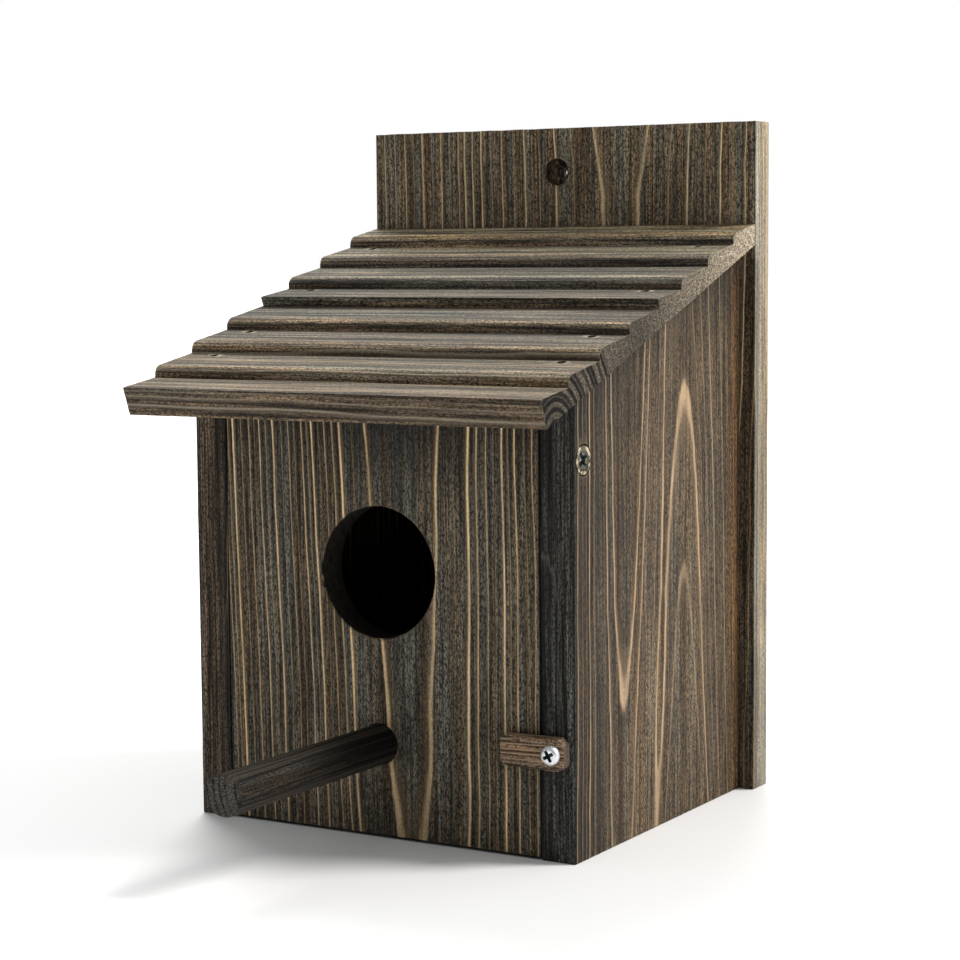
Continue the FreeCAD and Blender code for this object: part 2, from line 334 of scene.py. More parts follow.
def board_material(name, dark, light, line, glow, width=0.3, wear_and_highlight_colour=(0.20, 0.14, 0.085), wear=0.5,
                   fineness=1.0, fleck=0.5, cool=(0.9, 0.98, 1.0), warm=(1.0, 0.86, 0.7), contrast=1.7,
                   gloss=0.3, depth=0.00022):
    """Long-grain surface of a stained and brushed board."""
    material, tree, shader = new_material(name)
    growth = attribute(tree, "growth", "Vector")
    grain = attribute(tree, "grain", "Vector")
    lines = use_group(tree, LATEWOOD, Growth=growth, Grain=grain, Width=width)
    fibres = use_group(tree, FIBRES, Grain=grain, Fineness=fineness)
    stained = stained_colour(tree, fibres, dark, light, contrast, fleck, cool, warm)
    glowing = mix(tree, product(tree, lines["Glow"], 0.6), stained, glow)
    speckled = shade_by(tree, fibres["Fleck"], 0.62, 1.0)
    lined = mix(tree, product(tree, lines["Line"], speckled), glowing, line)
    # Bare edges where the stain has gone, and in part a painted highlight on them.
    bright_edges = use_group(tree, EDGE_WEAR_AND_HIGHLIGHT, Wear=attribute(tree, "wear"), Grain=grain, Amount=wear)
    colour = mix(tree, bright_edges["Mask"], lined, wear_and_highlight_colour)
    rough = calc(tree, "MULTIPLY_ADD", fibres["Streak"], -0.2, 0.78)
    fill(tree, shader, Base_Color=colour, Roughness=rough, Specular_IOR_Level=gloss)
    ridge = calc(tree, "MULTIPLY_ADD", fibres["Streak"], 0.6, product(tree, lines["Line"], 0.4))
    raise_surface(tree, shader, calc(tree, "MULTIPLY_ADD", fibres["Fleck"], 0.35, ridge), depth)
    return material


def end_material(name, dark, light, ring, ring_share=0.6, pore=0.6, depth=0.0003):
    """Sawn end of a board."""
    material, tree, shader = new_material(name)
    growth = attribute(tree, "growth", "Vector")
    parts = use_group(tree, END_GRAIN, Growth=growth, Grain=attribute(tree, "grain", "Vector"))
    base = mix(tree, parts["Saw"], dark, light)
    ringed = mix(tree, product(tree, parts["Ring"], ring_share), base, ring)
    shade = shade_by(tree, parts["Pore"], 1.0 - pore, 1.0 + 0.7 * pore)
    # The stain value from the mesh also carries painted shade and highlights.
    pored = vector_calc(tree, "SCALE", ringed, product(tree, shade, attribute(tree, "stain")))[0]
    rough = calc(tree, "MULTIPLY_ADD", parts["Pore"], -0.1, 0.88)
    fill(tree, shader, Base_Color=pored, Roughness=rough, Specular_IOR_Level=0.2)
    height = calc(tree, "MULTIPLY_ADD", parts["Pore"], 0.7, product(tree, parts["Ring"], 0.3))
    raise_surface(tree, shader, height, depth)
    return material


def metal_material(name, colour, dirt, roughness, dirt_share, bright_edges=(0.5, 0.43, 0.32)):
    """Plated steel, dirty in patches, scratched, and with painted glints where the mesh says so."""
    material, tree, shader = new_material(name)
    place = add(tree, "TexCoord").outputs["Object"]
    share = product(tree, patches(tree, place, (900.0,) * 3, 0.35, 0.7, 3.0, 0.6), dirt_share)
    broken = patches(tree, place, (700.0,) * 3, 0.46, 0.6, 2.0, 0.6)
    painted_glint = product(tree, attribute(tree, "painted_glint"), broken)
    plated = mix(tree, painted_glint, mix(tree, share, colour, dirt), bright_edges)
    scratch = noise(tree, place, (2500.0, 600.0, 1200.0))
    rough = remap(tree, scratch, 0.3, 0.7, roughness - 0.08, roughness + 0.12)
    metal = calc(tree, "SUBTRACT", 1.0, product(tree, share, 0.5))
    fill(tree, shader, Base_Color=plated, Roughness=rough, Metallic=metal)
    raise_surface(tree, shader, scratch, 0.00003)
    return material


# ---- Growth of the wood ----

def ramp(values, low, high):
    """0 up to low, 1 from high, and even in between."""
    return np.clip((values - low) / (high - low), 0.0, 1.0)


def ripple(points, wavelength, seed, count=7):
    """Smooth pseudo-random field between about -1 and 1."""
    draw = np.random.RandomState(seed)
    total = np.zeros(len(points))
    for _ in range(count):
        way = draw.normal(size=3)
        way /= np.linalg.norm(way)
        length = wavelength * draw.uniform(0.6, 1.6)
        total += np.sin(points @ way * (2 * math.pi / length) + draw.uniform(0, 2 * math.pi))
    return total / math.sqrt(count) / 1.2


def drawn_rings(start, end, spacing, seed, faint_from=1000.0):
    """Radii and strengths of rings whose spacing varies from year to year."""
    draw = np.random.RandomState(seed)
    rings = []
    radius = start
    while radius < end:
        tone = draw.uniform(0.15, 0.95)
        if radius > faint_from:
            tone *= 0.2
        rings.append((radius, tone))
        radius += spacing * draw.uniform(0.55, 1.5)
    return rings


class Growth:
    """How the rings pass through a board.

    Each heart is a stretch of pith: its place across the board at the foot, how far it moves
    across for each millimetre along, its depth behind the face at the foot, and how much the
    square of that depth changes for each millimetre along.
    """

    def __init__(self, hearts, rings, sway=0.5, seed=1, lopsided=0.0):
        self.hearts = hearts
        self.radii = np.array([radius for radius, _ in rings])
        self.tones = np.array([tone for _, tone in rings])
        self.sway = sway
        self.seed = seed
        self.lopsided = lopsided

    def radius(self, local):
        """Distance from the hearts at points (across, depth, along)."""
        across, inward, along = local.T
        total = 0.0
        for place, lean, depth, change in self.hearts:
            deep = np.sqrt(np.maximum(depth * depth + change * along, 1.0))
            offset = across - place - lean * along
            near = np.hypot(offset, deep - inward) - self.lopsided * offset
            total = total + np.exp(-near / 2.5)
        nearest = -2.5 * np.log(total)
        slow = ripple(local * (0.25, 0.25, 1.0), 60.0, self.seed)
        quick = ripple(local * (0.5, 0.5, 1.0), 19.0, self.seed + 50)
        return nearest + self.sway * (slow + 0.3 * quick)

    def field(self, local):
        """Count of rings passed, width of the ring there, and strength of its line."""
        radius = self.radius(local)
        count = np.interp(radius, self.radii, np.arange(len(self.radii)))
        gap = np.interp(radius, (self.radii[1:] + self.radii[:-1]) / 2, np.diff(self.radii))
        return np.stack([count, gap, np.interp(radius, self.radii, self.tones)], 1)

    def relief(self, local):
        """Height of the brushed surface: 0 on a latewood line, down to -1 between lines."""
        count, gap, tone = self.field(local).T
        late = np.abs(count - np.round(count)) * gap
        line = np.clip(1.0 - late / (0.35 + 0.45 * tone), 0.0, 1.0)
        return line * (0.4 + 0.6 * tone) - 1.0


FRONT_GROWTH = Growth(
    [(63.2, -0.0217, 20.0, -1.36)],
    [(8, 0.0), (14, 0.0), (19.95, 0.6), (23.4, 0.12), (26.9, 0.95), (29, 0.5), (31.5, 0.4), (33.4, 0.2),
     (35.8, 0.85), (37.4, 0.25), (39.2, 0.6), (41.9, 0.25), (44, 0.45), (46.6, 0.3), (49.7, 0.95),
     (52.3, 0.25), (54.7, 0.6), (56.5, 0.2), (58.5, 0.45), (61.5, 0.3), (64.7, 0.95), (66.5, 0.3),
     (68, 0.4), (71.2, 0.3), (75, 0.4)],
    sway=0.35, seed=11, lopsided=0.077)
RIGHT_GROWTH = Growth(
    [(28.0, 0.03, 14.0, -1.15), (69.0, 0.0, 17.5, 2.1)],
    [(3, 0.0), (8, 0.0), (12.3, 0.95), (15.1, 0.7), (16.4, 0.25), (17.6, 0.0), (18.8, 0.0), (21.5, 0.4),
     (24.1, 0.95), (25.7, 0.25), (27.6, 0.35), (30.4, 0.6), (32.5, 0.15), (35.5, 0.5), (39, 0.25),
     (42, 0.3), (46, 0.2)],
    sway=0.4, seed=23)
BACK_GROWTH = Growth(
    [(93.5, 0.0, 30.0, -2.2)],
    [(10, 0.3), (17, 0.4), (23.3, 0.5), (28, 0.3), (32.4, 0.7), (37, 0.3), (41.5, 0.7), (45, 0.25),
     (48.9, 0.6), (52.5, 0.3), (56.1, 0.9), (59.2, 0.6), (62, 0.95), (64.2, 0.5), (67.4, 0.3),
     (70.6, 0.65), (74, 0.3), (77.5, 0.7), (81, 0.3), (84.1, 0.75), (88, 0.4), (92, 0.5), (96.5, 0.3),
     (101, 0.5)],
    sway=0.4, seed=31)
LEFT_GROWTH = Growth([(46.0, 0.02, 16.0, 1.2)], drawn_rings(4.0, 80.0, 4.2, 5), seed=41)
FLOOR_GROWTH = Growth([(40.0, -0.05, 26.0, 1.0)], drawn_rings(4.0, 90.0, 4.6, 6), seed=43)
LOWER_GROWTH = Growth([(3.0, 0.01, 12.0, 0.1)], drawn_rings(1.0, 90.0, 2.5, 7, 34.0), sway=0.3, seed=47)
UPPER_GROWTH = Growth([(52.0, -0.05, 18.0, 0.9)], drawn_rings(4.0, 90.0, 2.8, 8, 10.0), sway=0.7, seed=53)
DOWEL_GROWTH = Growth([(14.0, 0.0, 3.0, 0.0)], drawn_rings(2.0, 30.0, 1.7, 9), sway=0.2, seed=59)
BUTTON_GROWTH = Growth([(16.0, 0.02, 5.0, 0.5)], drawn_rings(2.0, 30.0, 1.25, 10), sway=0.15, seed=61)


# ---- How heavily and how warmly each board is stained, and where shade and highlights are painted on ----

def even(local):
    """The same stain all over."""
    return np.ones(len(local))


def neutral(local):
    """No warmer or cooler anywhere."""
    return np.zeros(len(local))


def inner_shade(local):
    """A board's far face, inside the house, is darker."""
    return 1.0 - 0.5 * ramp(local[:, 1], 6.0, 8.0)


def front_painted_shade(local):
    """Painted shade: a little darker under the roof, where its shadow falls, and inside."""
    return (1.0 - 0.68 * ramp(local[:, 2], 98.0, 120.0)) * inner_shade(local)


def right_tone_and_shade(local):
    """Dark near the front and pale in the middle, with painted shade under the roof and inside."""
    shade = np.interp(local[:, 0], [0, 8, 22, 40, 70, 95, 108], [0.33, 0.42, 0.62, 1.12, 1.05, 0.8, 0.95])
    # Painted shadow of the roof along the top of the panel.
    below_roof = EAVES_HEIGHT + local[:, 0] * math.tan(ROOF_PITCH) - local[:, 2]
    under = 1.0 - ramp(below_roof, 0.0, 34.0)
    return shade * (1.0 - 0.6 * under) * inner_shade(local)


def left_tone_and_shade(local):
    """Even, with painted shade on the inside face."""
    return 0.9 * inner_shade(local)


def side_warmth(local):
    """Browner next to the back board."""
    return 2.2 * ramp(local[:, 0], 99.0, 106.0) + 0.1


def back_shade_and_tone(local):
    """Painted shade inside the house and next to it, and darker on the left edge."""
    across, inward, along = local.T
    in_house = np.abs(across - BOARD_WIDTH / 2) < HOUSE_WIDTH / 2
    covered = (inward < 3.0) & (along < SHELTERED)
    # Painted shade where the house and its sides keep the light off this face.
    shade = np.where(covered, np.where(in_house, 0.45, 0.6), 1.0)
    return np.where(across < 0.6, 0.25, shade)


def roof_highlights_and_shade(start, local):
    """Painted highlights on the noses and painted shade at the risers' feet; paler towards the top of the
    roof.
    """
    along = local[:, 0] + start
    past_nose = np.mod(along - FIRST_STEP, STEP_PITCH)
    past_nose = np.where(along < FIRST_STEP - STEP_LEAN, along + 2.0, past_nose)
    # Painted highlight on each nose, fading to painted shade towards the foot of the next riser.
    step = np.interp(past_nose, [0.0, 1.2, 3.0, 7.0, 12.0, 16.0, 17.6, 18.3, 19.1],
                     [1.5, 1.45, 0.95, 0.8, 0.75, 0.7, 0.75, 1.1, 1.5])
    top = np.interp(along, [0.0, 0.7, 1.5, 30, 60, 85, 110, 128, 146],
                    [0.55, 0.6, 1.0, 0.85, 0.76, 0.66, 0.85, 1.8, 3.3])
    end = np.interp(along, [0, 12, 34, 60, 100, 145], [0.3, 0.5, 0.58, 0.36, 1.1, 2.5])
    at_end = (local[:, 2] < 0.3) | (local[:, 2] > BOARD_WIDTH - 0.3)
    return np.where(at_end, end, step * top)


def roof_warmth(start, local):
    """Warmest at the lip."""
    return np.interp(local[:, 0] + start, [0.0, 20.0, 70.0, 110.0, 146.0], [0.45, 0.3, 0.0, -0.2, 0.1])


# ---- Meshes ----

class Lay:
    """Where a board's own directions lie: across the grain, through the board, along the grain."""

    def __init__(self, origin, across, inward, along):
        self.origin = np.array(origin, float)
        self.axes = np.array([across, inward, along], float)

    def to_frame(self, local):
        """Places in the frame, from places on the board."""
        return self.origin + local @ self.axes

    def to_local(self, places):
        """Places on the board, from places in the frame."""
        return (places - self.origin) @ self.axes.T

    def mirrored(self):
        """True if the three directions are left-handed."""
        return np.linalg.det(self.axes) < 0


def read(items, field, width=3, kind=float):
    """Rows of values that a mesh keeps for its vertices, edges or faces."""
    found = np.empty(len(items) * width, kind)
    items.foreach_get(field, found)
    return found.reshape(-1, width)


def store(mesh, name, values):
    """Write one number or three for each vertex into the mesh."""
    kind, field = ("FLOAT_VECTOR", "vector") if values.ndim == 2 else ("FLOAT", "value")
    layer = mesh.attributes.new(name, kind, "POINT")
    layer.data.foreach_set(field, np.ascontiguousarray(values, dtype=np.float32).ravel())


def places_mm(mesh):
    """Places of the vertices, in millimetres."""
    return read(mesh.vertices, "co") / MM


def move_vertices(mesh, places):
    """Put the vertices at new places, given in millimetres."""
    mesh.vertices.foreach_set("co", (places * MM).ravel())
    mesh.update()


def smooth(mesh, angle=38):
    """Smooth shading that keeps real corners."""
    mesh.shade_smooth()
    mesh.set_sharp_from_angle(angle=math.radians(angle))


def placed(name, mesh):
    """Object in the scene with this mesh."""
    made = bpy.data.objects.new(name, mesh)
    bpy.context.scene.collection.objects.link(made)
    return made


def new_object(name, points, faces):
    """Mesh object from points in millimetres."""
    mesh = bpy.data.meshes.new(name)
    mesh.from_pydata((np.array(points) * MM).tolist(), [], [list(map(int, face)) for face in faces])
    mesh.update()
    return placed(name, mesh)


def merged(name, meshes):
    """One object from several meshes."""
    whole = bmesh.new()
    for mesh in meshes:
        whole.from_mesh(mesh)
    mesh = bpy.data.meshes.new(name)
    whole.to_mesh(mesh)
    whole.free()
    return placed(name, mesh)


def cut(piece, cutters):
    """Cut closed meshes out of a piece, and remove them."""
    tool = merged("tool", [cutter.data for cutter in cutters])
    change = piece.modifiers.new("cut", "BOOLEAN")
    change.operation = "DIFFERENCE"
    change.solver = "EXACT"
    change.object = tool
    seen = piece.evaluated_get(bpy.context.evaluated_depsgraph_get())
    mesh = bpy.data.meshes.new_from_object(seen)
    piece.modifiers.clear()
    piece.data = mesh
    for used in (tool, *cutters):
        bpy.data.objects.remove(used)


def lathe(name, outline, place, way, segments=48):
    """Closed solid of revolution from (radius, height) points in millimetres, up along way."""
    turn = np.linspace(0, 2 * math.pi, segments, endpoint=False)
    points = []
    for radius, height in outline[1:-1]:
        points += [(radius * math.cos(t), radius * math.sin(t), height) for t in turn]
    rows = len(outline) - 2
    faces = []
    for row in range(rows - 1):
        for k in range(segments):
            after = (k + 1) % segments
            first, second = row * segments, (row + 1) * segments
            faces.append((first + k, first + after, second + after, second + k))
    foot, tip = len(points), len(points) + 1
    points += [(0, 0, outline[0][1]), (0, 0, outline[-1][1])]
    last = (rows - 1) * segments
    for k in range(segments):
        after = (k + 1) % segments
        faces.append((foot, after, k))
        faces.append((last + k, last + after, tip))
    if outline[-1][1] < outline[0][1]:
        faces = [face[::-1] for face in faces]
    turned = Vector((0, 0, 1)).rotation_difference(Vector(way)).to_matrix()
    return new_object(name, np.array(points) @ np.array(turned).T + np.array(place), faces)


# ---- Cutters ----

def box_cutter(low, high):
    """Cutter between two corners."""
    corners = [(x, y, z) for x in (low[0], high[0]) for y in (low[1], high[1]) for z in (low[2], high[2])]
    faces = [(0, 1, 3, 2), (4, 6, 7, 5), (0, 4, 5, 1), (2, 3, 7, 6), (0, 2, 6, 4), (1, 5, 7, 3)]
    return new_object("cutter", corners, faces)


def through_hole(radius, place, way, length, flare=0.35):
    """Cutter for a round hole whose two mouths are slightly broken."""
    out = 1.5
    mouth = radius + flare + out
    outline = [(0, -out), (mouth, -out), (radius, flare),
               (radius, length - flare), (mouth, length + out), (0, length + out)]
    return lathe("cutter", outline, place, way, 64)


def countersink(screw, place, way, length):
    """Cutter for a flat-headed screw: its head's cone and its shank, with a little room."""
    head, shank, _ = screw
    outline = [
        (0, 1.5), (head + 0.5, 1.5), (head + 0.35, 0.0), (head + 0.3, -0.35),
        (shank + 0.3, shank - head - 0.35), (shank + 0.3, -length), (0, -length)]
    return lathe("cutter", outline, place, way, 48)


def hanging_cutters(place, thickness):
    """Cutters for the hanging hole: its bore, and its recess with a rounded bottom."""
    radius = HANGING_RECESS / 2
    bore_radius = HANGING_BORE / 2 - 0.25
    bore = [(0, 2.0), (bore_radius, 2.0), (bore_radius, thickness + 1), (0, thickness + 1)]
    recess = [(0, -1.5), (radius + 1.3, -1.5), (radius, 0.2), (radius - 0.1, HANGING_DEPTH - 0.3),
              (radius - 0.5, HANGING_DEPTH), (0, HANGING_DEPTH)]
    return [lathe("cutter", outline, place, (0, 1, 0), 48) for outline in (bore, recess)]


# ---- Board meshes ----

def grid_lines(length, step, soften=EDGE):
    """Places of mesh lines over a length, closer together at its rounded ends."""
    near = np.array([0.0, 0.42, 0.73, 1.0]) * soften
    count = max(2, int(math.ceil((length - 2 * soften) / step)) + 1)
    inside = np.linspace(soften, length - soften, count)
    return np.unique(np.concatenate([near, inside, length - near]).round(5))


def grid_box(lines, soften=EDGE):
    """Points, outward normals and quads of a closed box with rounded edges."""
    counts = [len(places) for places in lines]
    skin = np.zeros(counts, bool)
    for axis in range(3):
        np.moveaxis(skin, axis, 0)[[0, -1]] = True
    number = np.full(counts, -1)
    number[skin] = np.arange(skin.sum())
    steps = np.argwhere(skin)
    points = np.stack([lines[axis][steps[:, axis]] for axis in range(3)], 1)
    size = np.array([places[-1] for places in lines])
    core = np.clip(points, soften, size - soften)
    normals = points - core
    normals /= np.linalg.norm(normals, axis=1)[:, None]
    quads = []
    for axis in range(3):
        for end in (0, -1):
            sheet = np.moveaxis(number, axis, 0)[end]
            corners = [sheet[:-1, :-1], sheet[1:, :-1], sheet[1:, 1:], sheet[:-1, 1:]]
            if (end == -1) != (axis != 1):
                corners.reverse()
            quads.append(np.stack(corners, -1).reshape(-1, 4))
    return core + soften * normals, normals, np.concatenate(quads)


def board(name, lay, lines, growth, shape=None, carve=0.13, soften=EDGE):
    """Closed board mesh whose surface is brushed down between the latewood lines."""
    points, normals, quads = grid_box(lines, soften)
    if shape:
        points = shape(points)
    long_grain = 1.0 - np.abs(normals[:, 2]) ** 2
    rough = 0.35 * ripple(points, 2.3, growth.seed + 7) - 0.35
    brushed = np.minimum(growth.relief(points) * long_grain + rough * (1.0 - long_grain), 0.0)
    points = points + normals * (carve * brushed)[:, None]
    if lay.mirrored():
        quads = quads[:, ::-1]
    return new_object(name, lay.to_frame(points), quads)


def straight_board(node, lay, steps, growth):
    """Board that fills a CAD node's box."""
    low, high = box_mm(node)
    size = np.abs(lay.axes @ (high - low))
    lines = [grid_lines(length, step) for length, step in zip(size, steps)]
    return board(node + "_board", lay, lines, growth)


def exposed(mesh, lay):
    """How much each vertex stands on an outer, rounded edge, from 0 to 1."""
    normals = read(mesh.vertices, "normal")
    places = read(mesh.vertices, "co")
    first, second = read(mesh.edges, "vertices", 2, int).T
    way = places[first] - places[second]
    way /= np.maximum(np.linalg.norm(way, axis=1), 1e-9)[:, None]
    bulge = np.zeros(len(places))
    count = np.zeros(len(places))
    for here, sign in ((first, 1.0), (second, -1.0)):
        np.add.at(bulge, here, sign * (normals[here] * way).sum(1))
        np.add.at(count, here, 1.0)
    flat = np.abs(normals @ lay.axes.T).max(1)
    turned = np.clip((0.97 - flat) / 0.12, 0.0, 1.0)
    return turned * np.clip(6.0 * bulge / count - 0.1, 0.0, 1.0)


def in_bore(middles, depth, bore):
    """Faces on the wall of a round hole, given as (middle, direction, radius)."""
    middle, way, radius = bore
    offset = middles - np.array(middle)
    axis = np.array(way, float)
    offset -= (offset @ axis)[:, None] * axis
    sunk = (depth > 0.05) & (depth < depth.max() - 0.8)
    return (np.linalg.norm(offset, axis=1) < radius) & sunk


def face_kinds(mesh, lay, bores):
    """0 for a board's faces, 1 for its edges, 2 for its ends, 3 for the walls of its holes."""
    turned = np.abs(read(mesh.polygons, "normal") @ lay.axes.T)
    middles = read(mesh.polygons, "center") / MM
    depth = lay.to_local(middles)[:, 1]
    kinds = np.zeros(len(turned), int)
    kinds[turned[:, 0] > 0.75] = 1
    kinds[turned[:, 2] > 0.75] = 2
    for bore in bores:
        kinds[in_bore(middles, depth, bore)] = 3
    return kinds


def store_wood(mesh, local, growth, stain, wear, warmth):
    """Write what the wood's materials read from the mesh."""
    store(mesh, "grain", local)
    store(mesh, "growth", growth.field(local))
    # The stain values hold the stain's own tone, and also painted shade and painted highlights.
    store(mesh, "stain", stain)
    store(mesh, "wear", wear)
    store(mesh, "warmth", warmth)


def set_materials(mesh, materials, kinds):
    """Give each face the material of its kind, and smooth the mesh."""
    mesh.materials.clear()
    for material in materials:
        mesh.materials.append(material)
    mesh.polygons.foreach_set("material_index", kinds)
    smooth(mesh)


def dress(piece, lay, growth, materials, stain=even, warmth=neutral, bores=()):
    """Give a board its grain, its stain with painted shade and highlights, its bare edges with a painted
    highlight in part, and materials for its faces, edges, ends and holes.
    """
    mesh = piece.data
    local = lay.to_local(places_mm(mesh))
    store_wood(mesh, local, growth, stain(local), exposed(mesh, lay), warmth(local))
    set_materials(mesh, materials, face_kinds(mesh, lay, bores))


def finish_piece(piece, body, node):
    """Put a piece on its body in place of its CAD node."""
    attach(piece, body)
    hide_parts(node)


# ---- Places read from the frame ----

def box_mm(node):
    """Lowest and highest corner of a CAD node, in millimetres."""
    low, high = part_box(node)
    return np.array(low) / MM, np.array(high) / MM


def middle_mm(node):
    """Middle of a CAD node's box, in millimetres."""
    low, high = box_mm(node)
    return (low + high) / 2


def islands(node):
    """Lowest and highest corner of each separate solid in a CAD node, in millimetres."""
    mesh = bmesh.new()
    mesh.from_mesh(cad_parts[node].data)
    bmesh.ops.remove_doubles(mesh, verts=mesh.verts, dist=1e-6)
    left = set(mesh.verts)
    found = []
    while left:
        heap = [left.pop()]
        group = []
        while heap:
            vertex = heap.pop()
            group.append(vertex.co / MM)
            for link in vertex.link_edges:
                other = link.other_vert(vertex)
                if other in left:
                    left.remove(other)
                    heap.append(other)
        places = np.array(group)
        found.append((places.min(0), places.max(0)))
    mesh.free()
    return sorted(found, key=lambda corners: corners[0].tolist())


# ---- Finishes ----

FRONT_FACE = board_material(
    "front, dark stain", dark=(0.018, 0.0165, 0.013), light=(0.18, 0.155, 0.119),
    line=(1.0, 0.72, 0.41), glow=(0.27, 0.175, 0.09), width=0.25, fleck=0.9,
    warm=(1.0, 0.83, 0.61), contrast=1.3, gloss=0.22)
FRONT_EDGE = board_material(
    "front edges", dark=(0.014, 0.013, 0.011), light=(0.085, 0.078, 0.064),
    line=(0.2, 0.16, 0.11), glow=(0.08, 0.065, 0.045))
SIDE_FACE = board_material(
    "side, brown stain", dark=(0.024, 0.019, 0.0135), light=(0.165, 0.132, 0.092),
    line=(0.5, 0.345, 0.205), glow=(0.22, 0.15, 0.088), width=0.18, fleck=0.9,
    cool=(1.0, 0.97, 0.87), warm=(1.0, 0.77, 0.52), contrast=1.25, gloss=0.25)
SIDE_EDGE = board_material(
    "side edges", dark=(0.009, 0.0095, 0.0098), light=(0.44, 0.43, 0.385),
    line=(0.1, 0.097, 0.085), glow=(0.06, 0.057, 0.05), width=0.03, wear=0.4, fleck=0.9,
    cool=(0.85, 0.97, 1.0), warm=(1.0, 0.95, 0.86), contrast=1.9, gloss=0.2)
LEFT_EDGE = board_material(
    "left side's edges", dark=(0.012, 0.0095, 0.0075), light=(0.25, 0.195, 0.142),
    line=(0.12, 0.085, 0.06), glow=(0.06, 0.042, 0.03), width=0.03, wear=0.4, fleck=0.9,
    contrast=1.8, gloss=0.2)
BACK_FACE = board_material(
    "back board", dark=(0.035, 0.028, 0.02), light=(0.275, 0.222, 0.158),
    line=(0.95, 0.72, 0.42), glow=(0.3, 0.21, 0.115), width=0.22, fleck=0.85,
    warm=(1.0, 0.82, 0.62), contrast=1.3, gloss=0.22)
BACK_EDGE = board_material(
    "back board's edge", dark=(0.12, 0.1, 0.072), light=(0.46, 0.395, 0.3),
    line=(0.5, 0.42, 0.31), glow=(0.38, 0.31, 0.22), wear=0.15, fleck=0.5, contrast=1.0)
# On the treads the pale colour of the rounded noses is largely a painted highlight.
TREAD = board_material(
    "roof treads", dark=(0.014, 0.012, 0.009), light=(0.35, 0.30, 0.21),
    line=(0.36, 0.28, 0.18), glow=(0.2, 0.145, 0.09), width=0.35, wear_and_highlight_colour=(0.6, 0.53, 0.39), wear=1.0,
    fineness=0.62, fleck=0.9, cool=(0.98, 1.0, 0.88), warm=(1.0, 0.78, 0.54), contrast=1.5,
    gloss=0.4, depth=0.0005)
RISER = board_material(
    "roof risers", dark=(0.024, 0.021, 0.016), light=(0.38, 0.33, 0.25),
    line=(0.3, 0.255, 0.185), glow=(0.16, 0.125, 0.09), wear_and_highlight_colour=(0.55, 0.48, 0.36), wear=0.9,
    fineness=0.8, fleck=0.9, warm=(1.0, 0.76, 0.56), depth=0.0005)
DOWEL = board_material(
    "perch dowel", dark=(0.003, 0.0028, 0.0022), light=(0.058, 0.052, 0.041),
    line=(0.05, 0.044, 0.034), glow=(0.03, 0.026, 0.02), fleck=0.85, contrast=1.8, gloss=0.12)
BUTTON_FACE = board_material(
    "turn button", dark=(0.010, 0.006, 0.004), light=(0.58, 0.39, 0.26),
    line=(0.55, 0.38, 0.24), glow=(0.3, 0.195, 0.12), width=0.16, wear_and_highlight_colour=(0.45, 0.3, 0.2), wear=0.6,
    fineness=0.8, fleck=0.75, contrast=1.4, gloss=0.2, depth=0.0004)

BACK_END = end_material(
    "back board's end", dark=(0.04, 0.033, 0.025), light=(0.13, 0.105, 0.075), ring=(0.2, 0.15, 0.1))
DARK_END = end_material(
    "sawn ends", dark=(0.025, 0.021, 0.017), light=(0.09, 0.075, 0.058), ring=(0.12, 0.1, 0.075))
RAW_WALL = end_material(
    "hanging hole's wall", dark=(0.008, 0.006, 0.004), light=(0.15, 0.105, 0.066),
    ring=(0.15, 0.1, 0.06), pore=0.95)
# Painted shade: the walls of the holes are nearly black, as the inside of a hole lies in shade.
SHADED_HOLE_WALL = end_material(
    "walls of the holes", dark=(0.006, 0.0048, 0.0036), light=(0.034, 0.025, 0.017),
    ring=(0.04, 0.03, 0.02), pore=0.85)
ROOF_END = end_material(
    "roof ends", dark=(0.2, 0.16, 0.113), light=(0.46, 0.385, 0.285), ring=(0.014, 0.008, 0.006),
    ring_share=1.0, pore=0.95, depth=0.0006)
DOWEL_END = end_material(
    "perch tip", dark=(0.004, 0.004, 0.0035), light=(0.06, 0.058, 0.05), ring=(0.15, 0.145, 0.125),
    pore=0.95)
BUTTON_END = end_material(
    "turn button's ends", dark=(0.04, 0.03, 0.02), light=(0.15, 0.11, 0.075), ring=(0.17, 0.13, 0.09))

ZINC = metal_material(
    "bright zinc", colour=(0.88, 0.9, 0.92), dirt=(0.3, 0.35, 0.37), roughness=0.42, dirt_share=0.3)
# The pale colour on these heads' rims and round their recesses is a painted glint.
BRONZED = metal_material(
    "bronzed steel", colour=(0.1, 0.08, 0.05), dirt=(0.012, 0.010, 0.008), roughness=0.26,
    dirt_share=0.9, bright_edges=(0.55, 0.46, 0.3))
# Painted shade: the cross recesses are coloured dark, as a hollow lies in shade.
RECESS_SHADE = metal_material(
    "driver recess", colour=(0.045, 0.075, 0.085), dirt=(0.01, 0.014, 0.016), roughness=0.5,
    dirt_share=0.6)
BRAD = metal_material(
    "dark brads", colour=(0.1, 0.095, 0.085), dirt=(0.05, 0.03, 0.02), roughness=0.5, dirt_share=0.6)


# ---- Boards of the house ----

